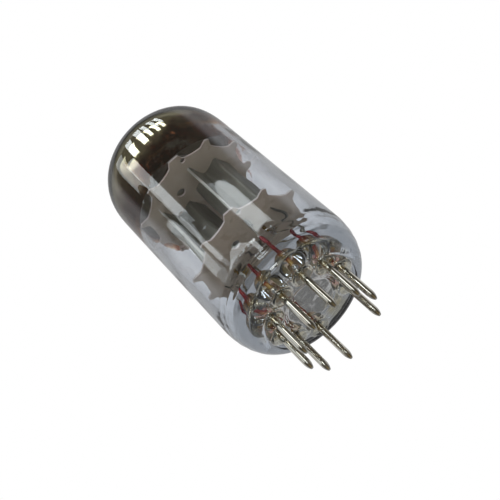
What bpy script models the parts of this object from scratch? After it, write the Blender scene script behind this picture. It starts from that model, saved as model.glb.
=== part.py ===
"""Nine-pin miniature glass vacuum tube, a double triode, standing on its pins.

Metres, +Z up along the tube. The origin is on the axis in the plane of the pin tips.
The two triodes stand side by side along X, and the gap in the ring of pins faces +Y.
Run with: blender --background --python part.py
"""

import math

import bmesh
import bpy
from mathutils import Matrix, Vector

MM = 0.001

# Fits between pieces
SEAT_GAP = 0.05 * MM
RUNNING_GAP = 0.04 * MM

# Glass envelope
BULB_RADIUS = 10.88 * MM
BULB_WALL = 1.0 * MM
BULB_LENGTH = 41.0 * MM
DOME_HEIGHT = 8.3 * MM
DOME_WALL = 1.3 * MM
DOME_SQUARENESS = 3.2
TIP_RADIUS = 1.7 * MM
TIP_HEIGHT = 3.4 * MM
TIP_BORE_RADIUS = 0.45 * MM
TIP_MOUTH_RADIUS = 0.9 * MM
TIP_BORE_RISE = 0.85 * MM
FOOT_LAND = 0.09 * MM
CORNER_HEIGHT = 5.96 * MM

# Glass button that closes the bulb and carries the pins
PIN_LENGTH = 6.8 * MM
BUTTON_THICKNESS = 2.6 * MM
BUTTON_RIM = 0.005 * MM
RECESS_RADIUS = 4.1 * MM
RECESS_DEPTH = 0.15 * MM
BOSS_RADIUS = 1.45 * MM
BOSS_TOP_RADIUS = 0.75 * MM
BOSS_HEIGHT = 1.3 * MM
BOSS_FOOT = 0.25 * MM

# Pins, on nine of ten equal places round a circle
PIN_PLACES = 10
PIN_COUNT = 9
GAP_ANGLE = math.radians(90)
PIN_CIRCLE_RADIUS = 5.945 * MM
PIN_RADIUS = 0.508 * MM
PIN_FLAT_RADIUS = 0.2 * MM
PIN_TAPER = 1.4 * MM
PIN_BEAD_RADIUS = 0.64 * MM
PIN_BEAD_HEIGHT = 0.7 * MM
PIN_DEPTH = 1.8 * MM

# Copper-clad seal wires, and the inner leads welded to them
SEAL_RADIUS = 0.27 * MM
SEAL_STANDOUT = 2.9 * MM
ANODE_SEAL_STANDOUT = 5.3 * MM
LEAD_SPAN = 5.65 * MM
LEAD_RADIUS = 0.18 * MM
HEATER_LEAD_RADIUS = 0.15 * MM
LEAD_RISE = 0.7 * MM
LEAD_RISE_SHARE = 0.06
LEAD_LEAN_SHARE = 0.72
LEAD_APPROACH = 1.0 * MM
CATHODE_LEAD_DROP = 0.6 * MM
CATHODE_LEAD_BEND = 1.0 * MM
ANODE_WELD_CLEARANCE = 0.3 * MM
LINK_WELD_OFFSET = 1.3 * MM

# Micas
MICA_THICKNESS = 0.3 * MM
MICA_SPACING = 14.2 * MM
MICA_TEETH = 11
MICA_CLEARANCE = 0.12 * MM
MICA_TOOTH_HEIGHT = 1.01 * MM
MICA_TOOTH_ROOT = math.radians(5.5)
MICA_TOOTH_TIP = math.radians(1.8)
MICA_VALLEY_SAG = 0.16 * MM
MICA_VALLEY_STEPS = 6
MICA_KEY_ANGLE = math.radians(296.5)
MICA_KEY_HALF_WIDTH = math.radians(4.5)
MICA_NOTCH_ANGLE = math.radians(303.5)
MICA_NOTCH_RADIUS = 0.4 * MM
JIG_HOLE_RADIUS = 0.7 * MM
JIG_HOLE_OFFSET = 4.15 * MM

# Anodes, each of two folded halves whose flanges meet in fins
ANODE_INNER = 0.9 * MM
ANODE_EDGE_MARGIN = 2.25 * MM
ANODE_HALF_DEPTH = 2.1 * MM
ANODE_SHEET = 0.16 * MM
ANODE_BEND = 0.45 * MM
FIN_REACH = 5.5 * MM
WALL_TAB_WIDTH = 3.6 * MM
FIN_TAB_WIDTH = 1.1 * MM
FIN_TAB_INSET = 0.3 * MM
TAB_PROTRUSION = 0.35 * MM
LEAD_TAB_PROTRUSION = 1.2 * MM
SLOT_CLEARANCE = 0.06 * MM

# Grids, cathodes and heaters
GRID_ROD_RADIUS = 0.25 * MM
GRID_ROD_OFFSET = 1.3 * MM
GRID_ROD_LOW = 1.3 * MM
GRID_ROD_HIGH = 1.5 * MM
GRID_HALF_WIDTH = 0.98 * MM
GRID_WIRE_RADIUS = 0.06 * MM
GRID_PITCH = 1.0 * MM
GRID_END_CLEARANCE = 0.8 * MM
CATHODE_RADIUS = 0.65 * MM
CATHODE_WALL = 0.1 * MM
CATHODE_LOW = 1.0 * MM
CATHODE_HIGH = 1.2 * MM
HEATER_WIRE_RADIUS = 0.19 * MM
HEATER_LEG_OFFSET = 0.26 * MM
HEATER_LOW = 2.2 * MM

# Getter above the upper mica
GETTER_RADIUS = 3.0 * MM
GETTER_SECTION = 1.1 * MM
GETTER_SHEET = 0.2 * MM
GETTER_RISE = 7.25 * MM
GETTER_WIRE_RADIUS = 0.25 * MM
GETTER_WIRE_BEND = 0.75 * MM
GETTER_CLINCH = 1.6 * MM

# Places worked out from the sizes above
BUTTON_RADIUS = PIN_CIRCLE_RADIUS + BOSS_RADIUS + BUTTON_RIM
SEAM_RADIUS = BUTTON_RADIUS + SEAT_GAP
CORNER_WIDTH = BULB_RADIUS - SEAM_RADIUS - FOOT_LAND
BUTTON_TOP = PIN_LENGTH + BUTTON_THICKNESS
BOSS_TOP = BUTTON_TOP + BOSS_HEIGHT
PIN_TOP = PIN_LENGTH + PIN_DEPTH
SEAL_FOOT = PIN_TOP + SEAT_GAP
SEAL_TOP = BOSS_TOP + SEAL_STANDOUT
ANODE_SEAL_TOP = BOSS_TOP + ANODE_SEAL_STANDOUT
LOWER_MICA = SEAL_TOP + LEAD_SPAN
UPPER_MICA = LOWER_MICA + MICA_SPACING
DOME_TOP = PIN_LENGTH + BULB_LENGTH
SHOULDER = PIN_LENGTH + CORNER_HEIGHT
BORE_RADIUS = BULB_RADIUS - BULB_WALL
MICA_RADIUS = BORE_RADIUS - MICA_CLEARANCE
MICA_VALLEY_RADIUS = MICA_RADIUS - MICA_TOOTH_HEIGHT
ANODE_FOOT = LOWER_MICA + MICA_THICKNESS + SEAT_GAP
ANODE_HEAD = UPPER_MICA - SEAT_GAP
ANODE_OUTER = MICA_VALLEY_RADIUS - ANODE_EDGE_MARGIN
TRIODE_OFFSET = (ANODE_INNER + ANODE_OUTER) / 2
FLANGE_SHIFT = (ANODE_SHEET + RUNNING_GAP) / 2
FIN_TAB_CENTRE = FIN_REACH - FIN_TAB_INSET - FIN_TAB_WIDTH / 2
GRID_ROD_FOOT = LOWER_MICA - GRID_ROD_LOW
GRID_ROD_HEAD = UPPER_MICA + MICA_THICKNESS + GRID_ROD_HIGH
CATHODE_FOOT = LOWER_MICA - CATHODE_LOW
CATHODE_HEAD = UPPER_MICA + MICA_THICKNESS + CATHODE_HIGH
HEATER_FOOT = LOWER_MICA - HEATER_LOW
GETTER_HEIGHT = UPPER_MICA + MICA_THICKNESS + GETTER_RISE
GETTER_FOOT = GETTER_HEIGHT - GETTER_SECTION / 2


# Scene and materials

def clear_scene():
    for obj in list(bpy.data.objects):
        bpy.data.objects.remove(obj, do_unlink=True)


def make_material(name, colour, roughness, metallic=0.0, glass=0.0):
    material = bpy.data.materials.new(name)
    material.use_nodes = True
    shader = material.node_tree.nodes["Principled BSDF"]
    shader.inputs["Base Color"].default_value = (*colour, 1.0)
    shader.inputs["Roughness"].default_value = roughness
    shader.inputs["Metallic"].default_value = metallic
    shader.inputs["Transmission Weight"].default_value = glass
    return material


def add_object(name, mesh, material):
    obj = bpy.data.objects.new(name, mesh)
    bpy.context.scene.collection.objects.link(obj)
    mesh.materials.clear()
    mesh.materials.append(material)
    return obj


def finish_mesh(name, shape, sharp_degrees=None):
    """Turn a bmesh into a mesh with its faces pointing out, smooth where its angles are small."""
    bmesh.ops.recalc_face_normals(shape, faces=shape.faces)
    mesh = bpy.data.meshes.new(name)
    shape.to_mesh(mesh)
    shape.free()
    if sharp_degrees is not None:
        mesh.shade_smooth()
        mesh.set_sharp_from_angle(angle=math.radians(sharp_degrees))
    return mesh


# Shapes

def on_circle(radius, angle, height=0.0):
    return Vector((radius * math.cos(angle), radius * math.sin(angle), height))


def turn_into(shape, profile, segments, centre=(0.0, 0.0)):
    """Turn a profile of (radius, height) points about Z. Points at radius 0 close its ends."""
    rings = []
    for radius, height in profile:
        count = segments if radius > 0 else 1
        ring = []
        for i in range(count):
            point = on_circle(radius, math.tau * i / segments, height)
            ring.append(shape.verts.new((point.x + centre[0], point.y + centre[1], point.z)))
        rings.append(ring)
    for first, second in zip(rings, rings[1:]):
        for i in range(segments):
            j = (i + 1) % segments
            corners = [first[i % len(first)], first[j % len(first)]]
            corners += [second[j % len(second)], second[i % len(second)]]
            corners = list(dict.fromkeys(corners))
            if len(corners) > 2:
                shape.faces.new(corners)


def turned_mesh(name, profile, segments, sharp_degrees=35):
    shape = bmesh.new()
    turn_into(shape, profile, segments)
    return finish_mesh(name, shape, sharp_degrees)


def ring_mesh(name, profile, segments, sharp_degrees=35):
    """Turn a closed profile that stays clear of the axis."""
    shape = bmesh.new()
    turn_into(shape, profile + profile[:1], segments)
    bmesh.ops.remove_doubles(shape, verts=shape.verts, dist=1e-7)
    return finish_mesh(name, shape, sharp_degrees)


def extruded_into(shape, outline, low, high):
    """A prism on a flat outline of (x, y) points."""
    verts = [shape.verts.new((x, y, low)) for x, y in outline]
    face = shape.faces.new(verts)
    grown = bmesh.ops.extrude_face_region(shape, geom=[face])
    tops = [item for item in grown["geom"] if isinstance(item, bmesh.types.BMVert)]
    bmesh.ops.translate(shape, verts=tops, vec=(0, 0, high - low))


def extruded_mesh(name, outline, low, high, sharp_degrees=None):
    shape = bmesh.new()
    extruded_into(shape, outline, low, high)
    return finish_mesh(name, shape, sharp_degrees)


def box_into(shape, centre, size):
    matrix = Matrix.Translation(centre) @ Matrix.Diagonal((*size, 1.0))
    bmesh.ops.create_cube(shape, size=1.0, matrix=matrix)


def circle_outline(centre, radius, segments=16):
    points = [on_circle(radius, math.tau * i / segments) for i in range(segments)]
    return [(centre[0] + point.x, centre[1] + point.y) for point in points]


def slot_outline(centre, width, depth):
    x, y = centre
    return [(x - width / 2, y - depth / 2), (x + width / 2, y - depth / 2),
            (x + width / 2, y + depth / 2), (x - width / 2, y + depth / 2)]


def smooth_route(points, steps=6):
    """A Catmull-Rom curve through the points of a bent wire."""
    knots = [Vector(point) for point in points]
    knots = [2 * knots[0] - knots[1]] + knots + [2 * knots[-1] - knots[-2]]
    route = []
    for a, b, c, d in zip(knots, knots[1:], knots[2:], knots[3:]):
        for i in range(steps):
            t = i / steps
            route.append(0.5 * (2 * b + (c - a) * t + (2 * a - 5 * b + 4 * c - d) * t * t
                                + (3 * b - a - 3 * c + d) * t ** 3))
    return route + [knots[-2]]


def bent_route(corners, bend, steps=3):
    """A straight wire with each corner bent to an arc."""
    points = [Vector(corner) for corner in corners]
    route = [points[0]]
    for before, corner, after in zip(points, points[1:], points[2:]):
        first = (corner - before).normalized()
        second = (after - corner).normalized()
        half_angle = first.angle(second) / 2
        axis = first.cross(second).normalized()
        start = corner - first * bend * math.tan(half_angle)
        centre = start + axis.cross(first) * bend
        for k in range(steps + 1):
            spin = Matrix.Rotation(2 * half_angle * k / steps, 3, axis)
            route.append(centre + spin @ (start - centre))
    return route + [points[-1]]


def wire_object(name, route, radius, material, sides=2):
    """A round wire with closed ends along a route of points."""
    curve = bpy.data.curves.new(name, "CURVE")
    curve.dimensions = "3D"
    curve.bevel_depth = radius
    curve.bevel_resolution = sides
    curve.use_fill_caps = True
    spline = curve.splines.new("POLY")
    spline.points.add(len(route) - 1)
    for point, place in zip(spline.points, route):
        point.co = (*place, 1.0)
    return add_object(name, curve, material)


def as_mesh_object(curve_object):
    """Replace a curve object by the mesh that it evaluates to, for use with a Boolean."""
    graph = bpy.context.evaluated_depsgraph_get()
    mesh = bpy.data.meshes.new_from_object(curve_object.evaluated_get(graph))
    name = curve_object.name
    material = curve_object.data.materials[0]
    bpy.data.objects.remove(curve_object, do_unlink=True)
    shape = bmesh.new()
    shape.from_mesh(mesh)
    bmesh.ops.remove_doubles(shape, verts=shape.verts, dist=1e-7)
    return add_object(name, finish_mesh(name, shape, 60), material)


def add_boolean(obj, tool, operation):
    modifier = obj.modifiers.new(tool.name, "BOOLEAN")
    modifier.operation = operation
    modifier.solver = "EXACT"
    modifier.object = tool
    tool.hide_render = True
    tool.display_type = "WIRE"


# Glass

def dome_outline(radius, top, height, steps):
    """From the wall up to just short of the axis, on a squared quarter circle."""
    points = []
    for i in range(steps):
        angle = math.pi / 2 * i / steps
        points.append((radius * math.cos(angle) ** (2 / DOME_SQUARENESS),
                       top - height + height * math.sin(angle) ** (2 / DOME_SQUARENESS)))
    return points


def corner_outline(outer_radius, foot, width, height, steps):
    """From a flat foot out and up to the wall, on a quarter ellipse."""
    points = []
    for i in range(steps + 1):
        angle = math.pi / 2 * i / steps
        points.append((outer_radius - width + width * math.sin(angle),
                       foot + height - height * math.cos(angle)))
    return points


def shoulder_outline(inner_radius, outer_radius, foot, height, steps):
    """From the wall up and in to a flat top, on a quarter ellipse."""
    points = []
    for i in range(steps + 1):
        angle = math.pi / 2 * i / steps
        points.append((inner_radius + (outer_radius - inner_radius) * math.cos(angle),
                       foot + height * math.sin(angle)))
    return points


def tip_outline():
    """The drawn-off exhaust tip, from its foot on the dome to its point."""
    shares = ((1.45, 0.02), (1.0, 0.12), (0.74, 0.36), (0.6, 0.62), (0.42, 0.85), (0.2, 0.97))
    return [(TIP_RADIUS * across, DOME_TOP + TIP_HEIGHT * up) for across, up in shares]


def build_bulb(glass):
    outer = corner_outline(BULB_RADIUS, PIN_LENGTH, CORNER_WIDTH, CORNER_HEIGHT, 6)
    outer += dome_outline(BULB_RADIUS, DOME_TOP, DOME_HEIGHT, 8)
    outer += tip_outline() + [(0.0, DOME_TOP + TIP_HEIGHT)]
    inner_height = DOME_HEIGHT - DOME_WALL
    inner = corner_outline(BORE_RADIUS, BUTTON_TOP, BORE_RADIUS - SEAM_RADIUS,
                           SHOULDER - BUTTON_TOP, 5)
    inner += dome_outline(BORE_RADIUS, DOME_TOP - DOME_WALL, inner_height, 7)
    inner += [(TIP_MOUTH_RADIUS, DOME_TOP - DOME_WALL), (TIP_BORE_RADIUS, DOME_TOP)]
    inner += [(0.0, DOME_TOP + TIP_BORE_RISE)]
    seam = [(SEAM_RADIUS, PIN_LENGTH)]
    profile = inner[::-1] + seam + outer
    return add_object("glass_bulb", turned_mesh("glass_bulb", profile, 36), glass)


def pin_angles():
    step = math.tau / PIN_PLACES
    return [GAP_ANGLE + step * (i + 1) for i in range(PIN_COUNT)]


def build_button(glass):
    profile = [(0.0, PIN_LENGTH + RECESS_DEPTH),
               (RECESS_RADIUS - RECESS_DEPTH, PIN_LENGTH + RECESS_DEPTH),
               (RECESS_RADIUS, PIN_LENGTH), (BUTTON_RADIUS, PIN_LENGTH),
               (BUTTON_RADIUS, BUTTON_TOP), (0.0, BUTTON_TOP)]
    button = add_object("glass_button", turned_mesh("glass_button", profile, 36), glass)
    boss = [(0.0, PIN_LENGTH - BOSS_FOOT), (BOSS_TOP_RADIUS, PIN_LENGTH - BOSS_FOOT),
            (BOSS_RADIUS, PIN_LENGTH + BOSS_FOOT)]
    boss += shoulder_outline(BOSS_TOP_RADIUS, BOSS_RADIUS, BUTTON_TOP, BOSS_HEIGHT, 2)
    boss += [(0.0, BOSS_TOP)]
    bead_foot = PIN_TOP - PIN_BEAD_HEIGHT - SEAT_GAP
    pin_bore = PIN_RADIUS + RUNNING_GAP
    bead_bore = PIN_BEAD_RADIUS + RUNNING_GAP
    seal_bore = SEAL_RADIUS + RUNNING_GAP
    bore = [(0.0, 0.0), (pin_bore, 0.0), (pin_bore, bead_foot), (bead_bore, bead_foot),
            (bead_bore, PIN_TOP + SEAT_GAP / 2), (seal_bore, PIN_TOP + SEAT_GAP / 2),
            (seal_bore, SEAL_TOP), (0.0, SEAL_TOP)]
    for name, section, operation in (("boss_tool", boss, "UNION"), ("bore_tool", bore, "DIFFERENCE")):
        shape = bmesh.new()
        for angle in pin_angles():
            turn_into(shape, section, 12, on_circle(PIN_CIRCLE_RADIUS, angle)[:2])
        tool = add_object(name, finish_mesh(name, shape), glass)
        add_boolean(button, tool, operation)
    return button


# Pins, seals and leads

def build_pins(nickel, copper):
    straight = PIN_TOP - PIN_BEAD_HEIGHT
    pin = [(0.0, 0.0)]
    pin += corner_outline(PIN_RADIUS, 0.0, PIN_RADIUS - PIN_FLAT_RADIUS, PIN_TAPER, 3)
    pin += [(PIN_RADIUS, straight),
            (PIN_BEAD_RADIUS, straight + PIN_BEAD_HEIGHT / 3),
            (PIN_BEAD_RADIUS, PIN_TOP - PIN_BEAD_HEIGHT / 3),
            (SEAL_RADIUS, PIN_TOP), (0.0, PIN_TOP)]
    pin_mesh = turned_mesh("pin", pin, 12)
    for number, angle in enumerate(pin_angles(), start=1):
        place = on_circle(PIN_CIRCLE_RADIUS, angle)
        add_object(f"pin_{number}", pin_mesh, nickel).location = place
        top = ANODE_SEAL_TOP if number in (1, 6) else SEAL_TOP
        seal = [(0.0, SEAL_FOOT), (SEAL_RADIUS, SEAL_FOOT), (SEAL_RADIUS, top), (0.0, top)]
        seal_mesh = turned_mesh(f"seal_wire_{number}", seal, 10)
        add_object(f"seal_wire_{number}", seal_mesh, copper).location = place


def place_of_pin(number, height=0.0):
    return on_circle(PIN_CIRCLE_RADIUS, pin_angles()[number - 1], height)


def leaning_route(seal_end, weld):
    """A lead that rises from its seal wire, leans across the tube and turns up to its weld."""
    risen = seal_end.lerp(weld, LEAD_RISE_SHARE)
    risen.z = seal_end.z + LEAD_RISE
    near = seal_end.lerp(weld, LEAD_LEAN_SHARE)
    near.z = weld.z - LEAD_APPROACH
    return smooth_route([seal_end, risen, near, weld], 5)


def lead_routes():
    """Routes of the leads of pins 4 to 9. Those of 1 to 3 are half a turn from 6 to 8."""
    seal_end = {number: place_of_pin(number, SEAL_TOP + SEAT_GAP) for number in range(4, 10)}
    tab_x = TRIODE_OFFSET + FLANGE_SHIFT - ANODE_SHEET / 2 - LEAD_RADIUS - SEAT_GAP
    anode_weld = Vector((tab_x, -FIN_TAB_CENTRE, LOWER_MICA - LEAD_TAB_PROTRUSION))
    anode_end = Vector((tab_x, -FIN_TAB_CENTRE, LOWER_MICA - ANODE_WELD_CLEARANCE))
    grid_weld = Vector((TRIODE_OFFSET, -GRID_ROD_OFFSET, GRID_ROD_FOOT - SEAT_GAP))
    sleeve_side = TRIODE_OFFSET + CATHODE_RADIUS + LEAD_RADIUS + SEAT_GAP
    across = LOWER_MICA - CATHODE_LEAD_DROP
    cathode_bend = place_of_pin(8, across)
    cathode_weld = Vector((sleeve_side, 0.0, across))
    heater_weld = Vector((TRIODE_OFFSET, -HEATER_LEG_OFFSET, HEATER_FOOT - SEAT_GAP))
    link_weld = link_place() + Vector((LINK_WELD_OFFSET, HEATER_LEAD_RADIUS + LEAD_RADIUS + SEAT_GAP, 0.0))
    routes = {
        4: leaning_route(seal_end[4], heater_weld * Vector((-1, 1, 1))),
        5: leaning_route(seal_end[5], heater_weld),
        6: smooth_route([place_of_pin(6, ANODE_SEAL_TOP + SEAT_GAP), anode_weld, anode_end], 5),
        7: leaning_route(seal_end[7], grid_weld),
        8: bent_route([seal_end[8], cathode_bend, cathode_weld], CATHODE_LEAD_BEND, 5),
        9: leaning_route(seal_end[9], link_weld),
    }
    for number in (6, 7, 8):
        routes[number - 5] = [Vector((-point.x, -point.y, point.z)) for point in routes[number]]
    return routes


def link_place():
    """Middle of the wire that joins one leg of each heater."""
    return Vector((0.0, HEATER_LEG_OFFSET, HEATER_FOOT - SEAT_GAP - HEATER_LEAD_RADIUS))


def build_leads(nickel):
    for number, route in sorted(lead_routes().items()):
        wire_object(f"lead_{number}", route, LEAD_RADIUS, nickel)
    middle = link_place()
    ends = [(x, middle.y, middle.z) for x in (-TRIODE_OFFSET, TRIODE_OFFSET)]
    wire_object("heater_link", ends, HEATER_LEAD_RADIUS, nickel)


# Micas

def hollow_between(start, end):
    """Points strictly between two corners, on a shallow curve that sags towards the centre."""
    inward = -(start + end).normalized()
    shares = [i / MICA_VALLEY_STEPS for i in range(1, MICA_VALLEY_STEPS)]
    return [start.lerp(end, t) + inward * MICA_VALLEY_SAG * 4 * t * (1 - t) for t in shares]


def mica_outline():
    """Hollow valleys between narrow teeth that grip the bulb, one tooth being a wide key."""
    teeth = []
    for i in range(MICA_TEETH):
        angle = MICA_KEY_ANGLE + math.tau * i / MICA_TEETH
        tip = MICA_KEY_HALF_WIDTH if i == 0 else MICA_TOOTH_TIP
        root = tip + MICA_TOOTH_ROOT - MICA_TOOTH_TIP
        corners = ((MICA_VALLEY_RADIUS, -root), (MICA_RADIUS, -tip), (MICA_RADIUS, tip), (MICA_VALLEY_RADIUS, root))
        teeth.append([Vector(on_circle(radius, angle + turn)) for radius, turn in corners])
    points = []
    for tooth, following in zip(teeth, teeth[1:] + teeth[:1]):
        points += tooth + hollow_between(tooth[-1], following[0])
    return [tuple(point[:2]) for point in points]


def mica_holes():
    """Outlines of every hole that the electrodes pass through, for one triode and its twin."""
    wall_slot = (ANODE_SHEET + 2 * SLOT_CLEARANCE, WALL_TAB_WIDTH + 2 * SLOT_CLEARANCE)
    fin_slot = (ANODE_SHEET + 2 * SLOT_CLEARANCE, FIN_TAB_WIDTH + 2 * SLOT_CLEARANCE)
    outlines = [circle_outline(on_circle(MICA_VALLEY_RADIUS, MICA_NOTCH_ANGLE), MICA_NOTCH_RADIUS, 12)]
    for side in (-1, 1):
        x = side * TRIODE_OFFSET
        outlines.append(circle_outline((0.0, side * JIG_HOLE_OFFSET), JIG_HOLE_RADIUS))
        outlines.append(circle_outline((x, 0.0), CATHODE_RADIUS + SLOT_CLEARANCE))
        for end in (-1, 1):
            outlines.append(circle_outline((x, end * GRID_ROD_OFFSET), GRID_ROD_RADIUS + SLOT_CLEARANCE, 12))
        outlines.append(slot_outline((side * (ANODE_OUTER - ANODE_SHEET / 2), 0.0), *wall_slot))
        outlines.append(slot_outline((side * (ANODE_INNER + ANODE_SHEET / 2), 0.0), *wall_slot))
        outlines.append(slot_outline((x + side * FLANGE_SHIFT, -side * FIN_TAB_CENTRE), *fin_slot))
    return outlines


def build_micas(mica):
    shape = bmesh.new()
    for outline in mica_holes():
        extruded_into(shape, outline, -MICA_THICKNESS, 2 * MICA_THICKNESS)
    for name, height in (("mica_lower", LOWER_MICA), ("mica_upper", UPPER_MICA)):
        punch = add_object(f"{name}_punch", finish_mesh("punch", shape.copy()), mica)
        plate = add_object(name, extruded_mesh(name, mica_outline(), 0.0, MICA_THICKNESS), mica)
        punch.location.z = height
        plate.location.z = height
        add_boolean(plate, punch, "DIFFERENCE")
    shape.free()


# Anodes

def offset_corners(points, distance):
    """Move an open line of points sideways, to the left for a positive distance."""
    moved = []
    for i, point in enumerate(points):
        before = (point - points[i - 1]).normalized() if i else None
        after = (points[i + 1] - point).normalized() if i + 1 < len(points) else None
        first, second = before or after, after or before
        normals = [Vector((-way.y, way.x)) for way in (first, second)]
        mitre = (normals[0] + normals[1]).normalized()
        moved.append(point + mitre * distance / mitre.dot(normals[0]))
    return moved


def rounded_line(points, distance, bend, steps=3):
    """The offset line with each inner corner made an arc about the bend of the sheet's middle."""
    line = offset_corners(points, distance)
    rounded = [line[0]]
    for i in range(1, len(line) - 1):
        first = (line[i] - line[i - 1]).normalized()
        second = (line[i + 1] - line[i]).normalized()
        turn = first.x * second.y - first.y * second.x
        radius = bend - math.copysign(distance, turn) if distance else bend
        half_angle = first.angle(second) / 2
        reach = radius * math.tan(half_angle)
        start, end = line[i] - first * reach, line[i] + second * reach
        centre = start + Vector((-first.y, first.x)) * math.copysign(radius, turn)
        for k in range(steps + 1):
            spin = Matrix.Rotation(math.copysign(2 * half_angle * k / steps, turn), 2)
            rounded.append(centre + spin @ (start - centre))
    return rounded + [line[-1]]


def anode_half_outline(wall_x, flange_x):
    """A channel of sheet with flanges: the section of one half of an anode."""
    middle = ANODE_HALF_DEPTH - ANODE_SHEET / 2
    line = [Vector(point) for point in (
        (flange_x, -FIN_REACH), (flange_x, -middle), (wall_x, -middle),
        (wall_x, middle), (flange_x, middle), (flange_x, FIN_REACH))]
    left = rounded_line(line, ANODE_SHEET / 2, ANODE_BEND)
    right = rounded_line(line, -ANODE_SHEET / 2, ANODE_BEND)
    return [tuple(point) for point in left + right[::-1]]


def build_anodes(grey_nickel):
    outer_wall = ANODE_OUTER - ANODE_SHEET / 2
    inner_wall = ANODE_INNER + ANODE_SHEET / 2
    flange = TRIODE_OFFSET + FLANGE_SHIFT
    tab_sheet = ANODE_SHEET * 0.9
    halves = (("outer", outer_wall, flange), ("inner", inner_wall, TRIODE_OFFSET - FLANGE_SHIFT))
    foot = LOWER_MICA - TAB_PROTRUSION
    head = UPPER_MICA + MICA_THICKNESS + TAB_PROTRUSION
    lead_foot = LOWER_MICA - LEAD_TAB_PROTRUSION
    for kind, wall_x, flange_x in halves:
        mesh = extruded_mesh(f"anode_{kind}", anode_half_outline(wall_x, flange_x), ANODE_FOOT, ANODE_HEAD, 30)
        shape = bmesh.new()
        box_into(shape, (wall_x, 0.0, (foot + head) / 2), (tab_sheet, WALL_TAB_WIDTH, head - foot))
        if kind == "outer":
            box_into(shape, (flange, -FIN_TAB_CENTRE, (lead_foot + head) / 2),
                     (tab_sheet, FIN_TAB_WIDTH, head - lead_foot))
        tabs_mesh = finish_mesh(f"anode_{kind}_tabs", shape)
        for side, turn in (("right", 0.0), ("left", math.pi)):
            half = add_object(f"anode_{side}_{kind}", mesh, grey_nickel)
            tabs = add_object(f"anode_{side}_{kind}_tabs", tabs_mesh, grey_nickel)
            half.rotation_euler.z = turn
            tabs.rotation_euler.z = turn
            add_boolean(half, tabs, "UNION")


# Grids, cathodes and heaters

def winding_route(x):
    low = ANODE_FOOT + GRID_END_CLEARANCE
    high = ANODE_HEAD - GRID_END_CLEARANCE
    turns = int((high - low) / GRID_PITCH)
    reach = GRID_ROD_OFFSET + GRID_ROD_RADIUS
    steps = 10
    route = []
    for i in range(turns * steps + 1):
        angle = math.tau * i / steps - math.pi / 2
        route.append(Vector((x + GRID_HALF_WIDTH * math.cos(angle), reach * math.sin(angle),
                             low + GRID_PITCH * i / steps)))
    return route


def build_grids(moly, nickel):
    rod = [(0.0, GRID_ROD_FOOT), (GRID_ROD_RADIUS, GRID_ROD_FOOT),
           (GRID_ROD_RADIUS, GRID_ROD_HEAD), (0.0, GRID_ROD_HEAD)]
    for side, x in (("left", -TRIODE_OFFSET), ("right", TRIODE_OFFSET)):
        winding = as_mesh_object(
            wire_object(f"grid_{side}", winding_route(x), GRID_WIRE_RADIUS, moly, sides=0))
        shape = bmesh.new()
        for end in (-1, 1):
            turn_into(shape, rod, 10, (x, end * GRID_ROD_OFFSET))
        rods = add_object(f"grid_{side}_rods", finish_mesh(f"grid_{side}_rods", shape, 35), nickel)
        add_boolean(winding, rods, "UNION")


def build_cathodes(nickel, white):
    bore = CATHODE_RADIUS - CATHODE_WALL
    sleeve = [(bore, CATHODE_FOOT), (CATHODE_RADIUS, CATHODE_FOOT),
              (CATHODE_RADIUS, CATHODE_HEAD), (bore, CATHODE_HEAD)]
    sleeve_mesh = ring_mesh("cathode", sleeve, 18)
    bend = CATHODE_HEAD - HEATER_WIRE_RADIUS - HEATER_LEG_OFFSET - 2 * SEAT_GAP
    loop = [(0.0, -HEATER_LEG_OFFSET, HEATER_FOOT)]
    for i in range(7):
        point = on_circle(HEATER_LEG_OFFSET, math.pi - math.pi * i / 6)
        loop.append((0.0, point.x, bend + point.y))
    loop.append((0.0, HEATER_LEG_OFFSET, HEATER_FOOT))
    for side, x in (("left", -TRIODE_OFFSET), ("right", TRIODE_OFFSET)):
        add_object(f"cathode_{side}", sleeve_mesh, nickel).location.x = x
        route = [(x + across, y, z) for across, y, z in loop]
        wire_object(f"heater_{side}", route, HEATER_WIRE_RADIUS, white, sides=1)


# Getter

def build_getter(steel, nickel):
    half = GETTER_SECTION / 2
    low, high = GETTER_FOOT, GETTER_HEIGHT + half
    trough = [(GETTER_RADIUS - half, low), (GETTER_RADIUS + half, low), (GETTER_RADIUS + half, high),
              (GETTER_RADIUS + half - GETTER_SHEET, high), (GETTER_RADIUS + half - GETTER_SHEET, low + GETTER_SHEET),
              (GETTER_RADIUS - half + GETTER_SHEET, low + GETTER_SHEET),
              (GETTER_RADIUS - half + GETTER_SHEET, high), (GETTER_RADIUS - half, high)]
    add_object("getter_ring", ring_mesh("getter_ring", trough, 32), steel)
    under_mica = UPPER_MICA - GETTER_WIRE_RADIUS - 2 * SEAT_GAP
    arm = GETTER_FOOT - GETTER_WIRE_RADIUS - SEAT_GAP
    leg_y = JIG_HOLE_OFFSET + GETTER_WIRE_RADIUS
    corners = [(GETTER_CLINCH, leg_y, under_mica), (0.0, leg_y, under_mica),
               (0.0, leg_y, arm), (0.0, GETTER_RADIUS - half, arm)]
    route = bent_route(corners, GETTER_WIRE_BEND)
    wire_object("getter_support", route, GETTER_WIRE_RADIUS, nickel)


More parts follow.
